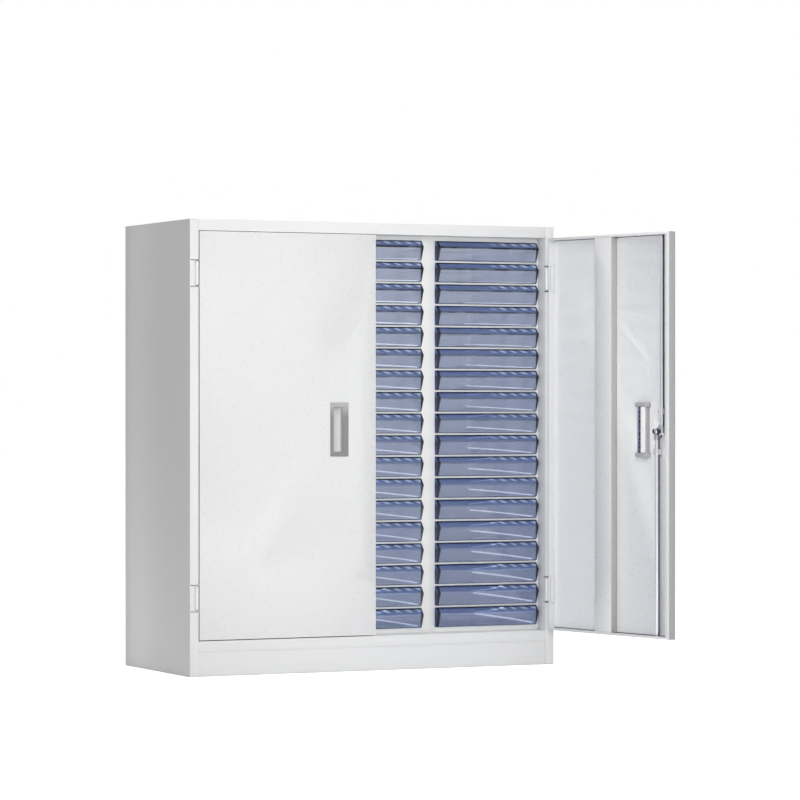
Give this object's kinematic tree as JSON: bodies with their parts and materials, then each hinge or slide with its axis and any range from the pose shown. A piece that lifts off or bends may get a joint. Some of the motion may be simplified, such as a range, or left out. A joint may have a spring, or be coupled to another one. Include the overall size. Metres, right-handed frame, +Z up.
{
  "type": "multi-drawer file cabinet",
  "caption": "White steel cabinet with two hinged doors in front of three columns of shallow blue plastic paper drawers.",
  "frame": {"origin": "middle of the plinth's underside, on the floor", "axes": "+Z up, -Y towards the doors, +X to the right as seen from the front"},
  "size_m": [0.977, 0.8207, 1.004],
  "materials": {
    "body_paint": "smooth white powder coat, semi-gloss",
    "frame_paint": "smooth white powder coat",
    "door_paint": "glossy white powder coat",
    "drawer_plastic": "clear blue moulded plastic",
    "pull_grey": "satin silver grey",
    "zinc": "bright zinc plate",
    "lock_chrome": "polished",
    "lock_black": "black zinc",
    "cover_white": "smooth white plastic"
  },
  "bodies": {
    "cabinet": {"left_side_panel": "body_paint", "right_side_panel": "body_paint", "top_panel": "body_paint", "floor_panel": "body_paint", "back_panel": "body_paint", "plinth": "body_paint", "left_partition": "frame_paint", "right_partition": "frame_paint", "left_liner": "frame_paint", "right_liner": "frame_paint", "head_strips": "frame_paint", "sill_strips": "frame_paint", "left_shelves": "frame_paint", "middle_shelves": "frame_paint", "right_shelves": "frame_paint", "left_drawers": "drawer_plastic", "middle_drawers": "drawer_plastic", "hinge_pins": "zinc", "hinge_brackets": "zinc", "hinge_covers": "cover_white"},
    "right_door": {"right_door_panel": "door_paint", "right_door_stiffener": "door_paint", "right_pull": "pull_grey", "right_pull_clamps": "zinc", "right_hinge_leaves": "door_paint", "lock_barrel": "lock_chrome", "lock_nut": "zinc", "rod_guides": "zinc"},
    "left_door": {"left_door_panel": "door_paint", "left_door_stiffener": "door_paint", "left_pull": "pull_grey", "left_pull_clamps": "zinc", "left_hinge_leaves": "door_paint"},
    "lock_cam": {"lock_plug": "lock_chrome", "lock_cam_plate": "lock_black", "cam_nut": "lock_black"},
    "upper_rod": {"upper_rod": "zinc"},
    "lower_rod": {"lower_rod": "zinc"},
    "right_drawer_01": {"right_drawer_01": "drawer_plastic"},
    "right_drawer_02": {"right_drawer_02": "drawer_plastic"},
    "right_drawer_03": {"right_drawer_03": "drawer_plastic"},
    "right_drawer_04": {"right_drawer_04": "drawer_plastic"},
    "right_drawer_05": {"right_drawer_05": "drawer_plastic"},
    "right_drawer_06": {"right_drawer_06": "drawer_plastic"},
    "right_drawer_07": {"right_drawer_07": "drawer_plastic"},
    "right_drawer_08": {"right_drawer_08": "drawer_plastic"},
    "right_drawer_09": {"right_drawer_09": "drawer_plastic"},
    "right_drawer_10": {"right_drawer_10": "drawer_plastic"},
    "right_drawer_11": {"right_drawer_11": "drawer_plastic"},
    "right_drawer_12": {"right_drawer_12": "drawer_plastic"},
    "right_drawer_13": {"right_drawer_13": "drawer_plastic"},
    "right_drawer_14": {"right_drawer_14": "drawer_plastic"},
    "right_drawer_15": {"right_drawer_15": "drawer_plastic"},
    "right_drawer_16": {"right_drawer_16": "drawer_plastic"},
    "right_drawer_17": {"right_drawer_17": "drawer_plastic"},
    "right_drawer_18": {"right_drawer_18": "drawer_plastic"}
  },
  "joints": [
    {"name": "right_door_swing", "type": "hinge", "parent": "cabinet", "child": "right_door", "pos_m": [0.4407, -0.18995, 0.5285], "axis": [0, 0, 1], "range_deg": [-100.5, 9.5]},
    {"name": "left_door_swing", "type": "hinge", "parent": "cabinet", "child": "left_door", "pos_m": [-0.4407, -0.18995, 0.5285], "axis": [0, 0, -1], "range_deg": [0, 110]},
    {"name": "lock_turn", "type": "hinge", "parent": "right_door", "child": "lock_cam", "pos_m": [0.50881, -0.57773, 0.5373], "axis": [-0.9833, -0.1822, 0], "range_deg": [0, 90]},
    {"name": "upper_rod_slide", "type": "slide", "parent": "right_door", "child": "upper_rod", "axis": [0, 0, 1], "range_m": [0, 0.012]},
    {"name": "lower_rod_slide", "type": "slide", "parent": "right_door", "child": "lower_rod", "axis": [0, 0, -1], "range_m": [0, 0.012]},
    {"name": "right_drawer_01_slide", "type": "slide", "parent": "cabinet", "child": "right_drawer_01", "axis": [0, -1, 0], "range_m": [0, 0.25]},
    {"name": "right_drawer_02_slide", "type": "slide", "parent": "cabinet", "child": "right_drawer_02", "axis": [0, -1, 0], "range_m": [0, 0.25]},
    {"name": "right_drawer_03_slide", "type": "slide", "parent": "cabinet", "child": "right_drawer_03", "axis": [0, -1, 0], "range_m": [0, 0.25]},
    {"name": "right_drawer_04_slide", "type": "slide", "parent": "cabinet", "child": "right_drawer_04", "axis": [0, -1, 0], "range_m": [0, 0.25]},
    {"name": "right_drawer_05_slide", "type": "slide", "parent": "cabinet", "child": "right_drawer_05", "axis": [0, -1, 0], "range_m": [0, 0.25]},
    {"name": "right_drawer_06_slide", "type": "slide", "parent": "cabinet", "child": "right_drawer_06", "axis": [0, -1, 0], "range_m": [0, 0.25]},
    {"name": "right_drawer_07_slide", "type": "slide", "parent": "cabinet", "child": "right_drawer_07", "axis": [0, -1, 0], "range_m": [0, 0.25]},
    {"name": "right_drawer_08_slide", "type": "slide", "parent": "cabinet", "child": "right_drawer_08", "axis": [0, -1, 0], "range_m": [0, 0.25]},
    {"name": "right_drawer_09_slide", "type": "slide", "parent": "cabinet", "child": "right_drawer_09", "axis": [0, -1, 0], "range_m": [0, 0.25]},
    {"name": "right_drawer_10_slide", "type": "slide", "parent": "cabinet", "child": "right_drawer_10", "axis": [0, -1, 0], "range_m": [0, 0.25]},
    {"name": "right_drawer_11_slide", "type": "slide", "parent": "cabinet", "child": "right_drawer_11", "axis": [0, -1, 0], "range_m": [0, 0.25]},
    {"name": "right_drawer_12_slide", "type": "slide", "parent": "cabinet", "child": "right_drawer_12", "axis": [0, -1, 0], "range_m": [0, 0.25]},
    {"name": "right_drawer_13_slide", "type": "slide", "parent": "cabinet", "child": "right_drawer_13", "axis": [0, -1, 0], "range_m": [0, 0.25]},
    {"name": "right_drawer_14_slide", "type": "slide", "parent": "cabinet", "child": "right_drawer_14", "axis": [0, -1, 0], "range_m": [0, 0.25]},
    {"name": "right_drawer_15_slide", "type": "slide", "parent": "cabinet", "child": "right_drawer_15", "axis": [0, -1, 0], "range_m": [0, 0.25]},
    {"name": "right_drawer_16_slide", "type": "slide", "parent": "cabinet", "child": "right_drawer_16", "axis": [0, -1, 0], "range_m": [0, 0.25]},
    {"name": "right_drawer_17_slide", "type": "slide", "parent": "cabinet", "child": "right_drawer_17", "axis": [0, -1, 0], "range_m": [0, 0.25]},
    {"name": "right_drawer_18_slide", "type": "slide", "parent": "cabinet", "child": "right_drawer_18", "axis": [0, -1, 0], "range_m": [0, 0.25]}
  ],
  "couplings": [
    {"joint": "lock_turn", "follows": "upper_rod_slide", "rad_per_m": 130.9},
    {"joint": "lower_rod_slide", "follows": "upper_rod_slide", "ratio": 1}
  ]
}
